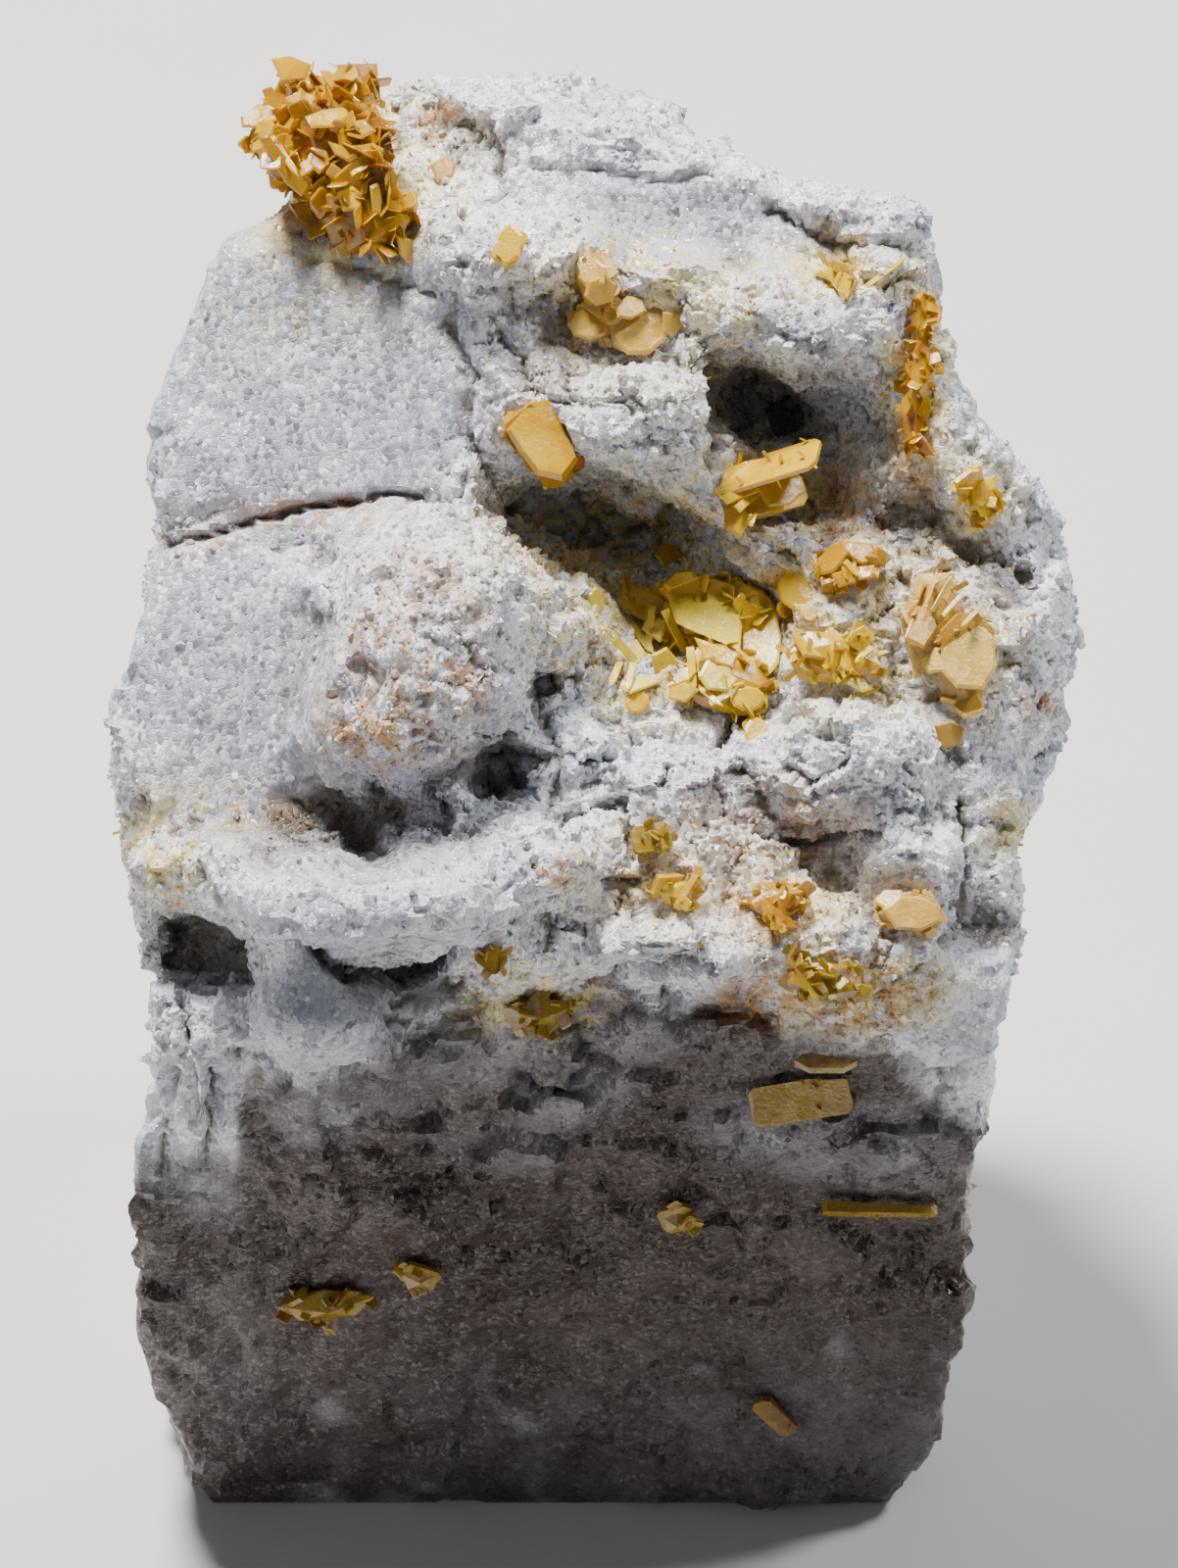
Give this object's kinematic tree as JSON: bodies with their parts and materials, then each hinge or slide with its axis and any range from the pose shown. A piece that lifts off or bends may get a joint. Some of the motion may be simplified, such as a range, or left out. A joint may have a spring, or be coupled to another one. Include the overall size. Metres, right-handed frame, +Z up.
{
  "type": "wulfenite crystal specimen",
  "caption": "Mineral specimen: a broken block of granular quartz, open with small vugs, carrying clusters and single thin tablets of yellow-orange wulfenite.",
  "frame": {"origin": "in the flat foot that the specimen stands on, under the middle of the block", "axes": "+Z up; the crystal face looks towards -Y and about 40 degrees up; +X is to the right seen from that side"},
  "size_m": [0.0497, 0.046, 0.0734],
  "materials": {
    "quartz": "granular, sugary quartz, white to blue-grey, browner on the lower front",
    "wulfenite_yellow": "glassy translucent yellow crystal",
    "wulfenite_orange": "glassy translucent honey-orange crystal",
    "wulfenite_tan": "dusty tan translucent crystal",
    "wulfenite_olive": "glassy olive-yellow crystal, iron-stained"
  },
  "bodies": {
    "root": {"quartz_matrix": "quartz", "cap_cluster": "wulfenite_orange", "vug_cluster": "wulfenite_yellow", "stout_crystal": "wulfenite_orange", "vug_blade": "wulfenite_yellow", "slope_rosette": "wulfenite_tan", "crest_fleck": "wulfenite_yellow", "crest_blades": "wulfenite_yellow", "groove_crust": "wulfenite_orange", "saddle_plates": "wulfenite_orange", "slope_blades": "wulfenite_yellow", "shoulder_crust": "wulfenite_tan", "shoulder_tip_cluster": "wulfenite_yellow", "slope_knot": "wulfenite_olive", "slope_flecks": "wulfenite_yellow", "lip_crust": "wulfenite_orange", "lip_nugget": "wulfenite_tan", "brow_crust": "wulfenite_olive", "ledge_cluster": "wulfenite_olive", "ledge_tip_crystals": "wulfenite_olive", "front_sliver": "wulfenite_olive", "front_plate": "wulfenite_olive", "front_rod": "wulfenite_olive", "front_knot_upper": "wulfenite_olive", "front_crust_left": "wulfenite_olive", "front_crust_middle": "wulfenite_olive", "front_chip": "wulfenite_olive"}
  },
  "joints": []
}
